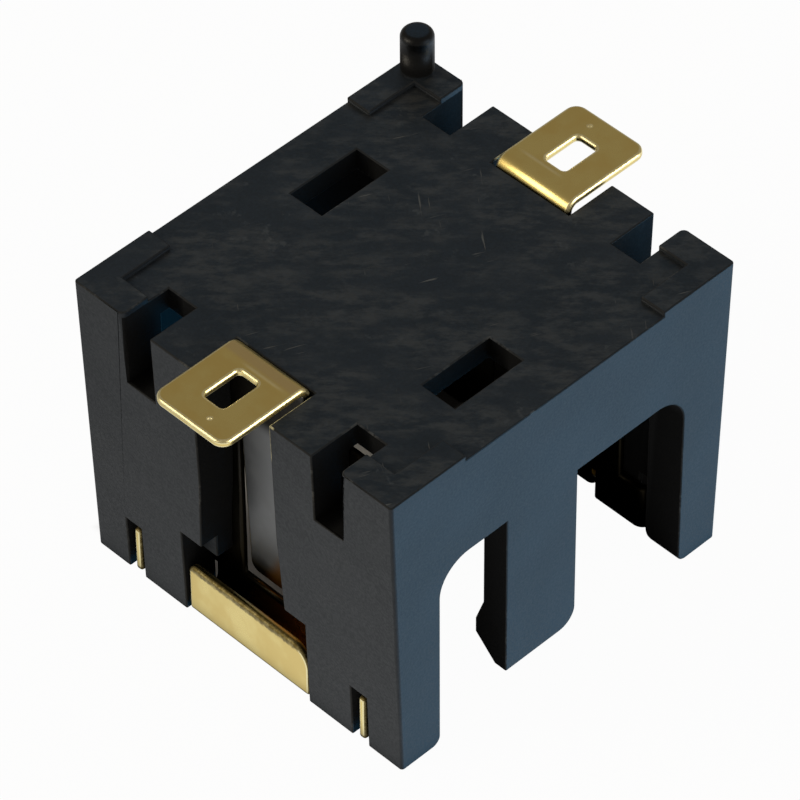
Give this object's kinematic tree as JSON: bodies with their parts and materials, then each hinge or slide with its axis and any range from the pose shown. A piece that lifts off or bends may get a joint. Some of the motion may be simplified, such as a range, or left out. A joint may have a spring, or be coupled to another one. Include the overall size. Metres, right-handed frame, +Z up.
{
  "type": "coin cell holder",
  "caption": "Board-mounted holder for a small round cell: a black moulded housing on legs with snap arms, plated sheet contacts with solder tabs, and a locating peg.",
  "frame": {"origin": "middle of the four legs' footprint, on the surface that the legs stand on", "axes": "+X across the holder, +Y along the cell from the front contact to the back contact, +Z up, from the open side of the cell bay towards the mounting face"},
  "size_m": [0.014, 0.0186, 0.0138],
  "materials": {
    "black_moulding": "fine matt moulding, lightly scuffed",
    "plated_sheet": "thin gold plating on sheet metal, satin"
  },
  "bodies": {
    "root": {"housing": "black_moulding", "front_contact": "plated_sheet", "back_contact": "plated_sheet"}
  },
  "joints": []
}
